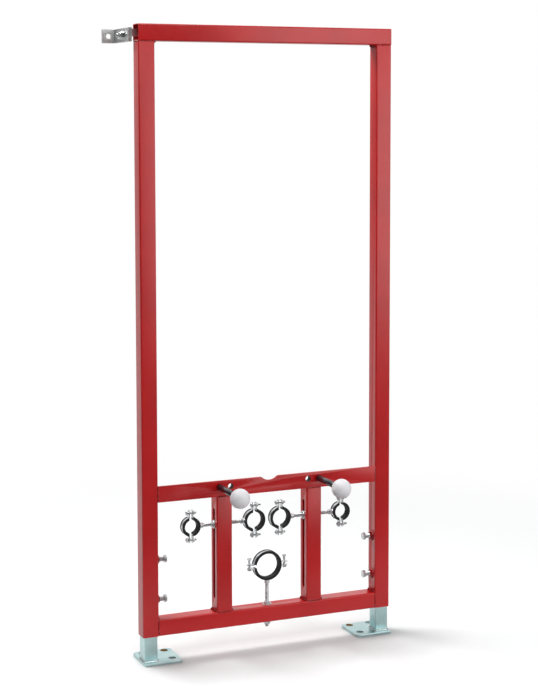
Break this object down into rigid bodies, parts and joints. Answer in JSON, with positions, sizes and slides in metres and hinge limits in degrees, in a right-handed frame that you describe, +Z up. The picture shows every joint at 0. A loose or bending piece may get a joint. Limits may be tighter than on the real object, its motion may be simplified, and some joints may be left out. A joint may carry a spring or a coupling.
{
  "type": "sanitary support frame",
  "caption": "Floor-standing square-tube support frame for a wall-hung sanitary bowl, with fixing crossbar, lined pipe clamps, sliding feet and a wall bracket.",
  "frame": {"origin": "on the floor, in the middle of the four inner anchor holes of the two feet", "axes": "+X to the right across the frame, front faces -Y, +Z up"},
  "size_m": [0.613, 0.264, 1.3335],
  "materials": {
    "red_paint": "red powder coat on welded steel tube, satin",
    "foot_zinc": "blue passivated zinc plating",
    "bracket_zinc": "zinc plated sheet",
    "band_zinc": "bright zinc strip",
    "bright_zinc": "bright zinc plated threads and heads",
    "rubber": "black profiled rubber",
    "sleeve_plastic": "black plastic sleeve",
    "cap_plastic": "off-white moulded plastic"
  },
  "bodies": {
    "frame": {"left_upright": "red_paint", "right_upright": "red_paint", "top_rail": "red_paint", "bottom_rail": "red_paint", "crossbar": "red_paint", "left_mullion": "red_paint", "right_mullion": "red_paint", "crossbar_nuts": "red_paint", "lock_nuts": "red_paint", "lock_screws": "bright_zinc", "left_stud": "bright_zinc", "right_stud": "bright_zinc", "left_sleeve": "sleeve_plastic", "right_sleeve": "sleeve_plastic", "left_ball_cap": "cap_plastic", "right_ball_cap": "cap_plastic", "drain_rod_nuts": "bright_zinc", "bracket_tongue": "bracket_zinc", "bracket_bolt": "bright_zinc"},
    "left_foot": {"left_leg": "foot_zinc", "left_foot_plate": "foot_zinc"},
    "right_foot": {"right_leg": "foot_zinc", "right_foot_plate": "foot_zinc"},
    "left_clamps": {"left_rod": "bright_zinc", "left_rod_nuts": "bright_zinc", "left_outer_bands": "band_zinc", "left_outer_lining": "rubber", "left_outer_screws": "bright_zinc", "left_inner_bands": "band_zinc", "left_inner_lining": "rubber", "left_inner_screws": "bright_zinc"},
    "right_clamps": {"right_rod": "bright_zinc", "right_rod_nuts": "bright_zinc", "right_outer_bands": "band_zinc", "right_outer_lining": "rubber", "right_outer_screws": "bright_zinc", "right_inner_bands": "band_zinc", "right_inner_lining": "rubber", "right_inner_screws": "bright_zinc"},
    "drain_clamp": {"drain_rod": "bright_zinc", "drain_bands": "band_zinc", "drain_lining": "rubber", "drain_screws": "bright_zinc"},
    "wall_bracket": {"wall_angle": "bracket_zinc"}
  },
  "joints": [
    {"name": "left_foot_slide", "type": "slide", "parent": "frame", "child": "left_foot", "axis": [0, 0, -1], "range_m": [-0.045, 0.15]},
    {"name": "right_foot_slide", "type": "slide", "parent": "frame", "child": "right_foot", "axis": [0, 0, -1], "range_m": [-0.045, 0.15]},
    {"name": "left_clamp_slide", "type": "slide", "parent": "frame", "child": "left_clamps", "axis": [0, 0, 1], "range_m": [-0.028, 0.025]},
    {"name": "right_clamp_slide", "type": "slide", "parent": "frame", "child": "right_clamps", "axis": [0, 0, 1], "range_m": [-0.028, 0.025]},
    {"name": "drain_height", "type": "slide", "parent": "frame", "child": "drain_clamp", "axis": [0, 0, 1], "range_m": [-0.025, 0.004]},
    {"name": "wall_reach", "type": "slide", "parent": "frame", "child": "wall_bracket", "axis": [0, 1, 0], "range_m": [-0.022, 0.034]}
  ]
}
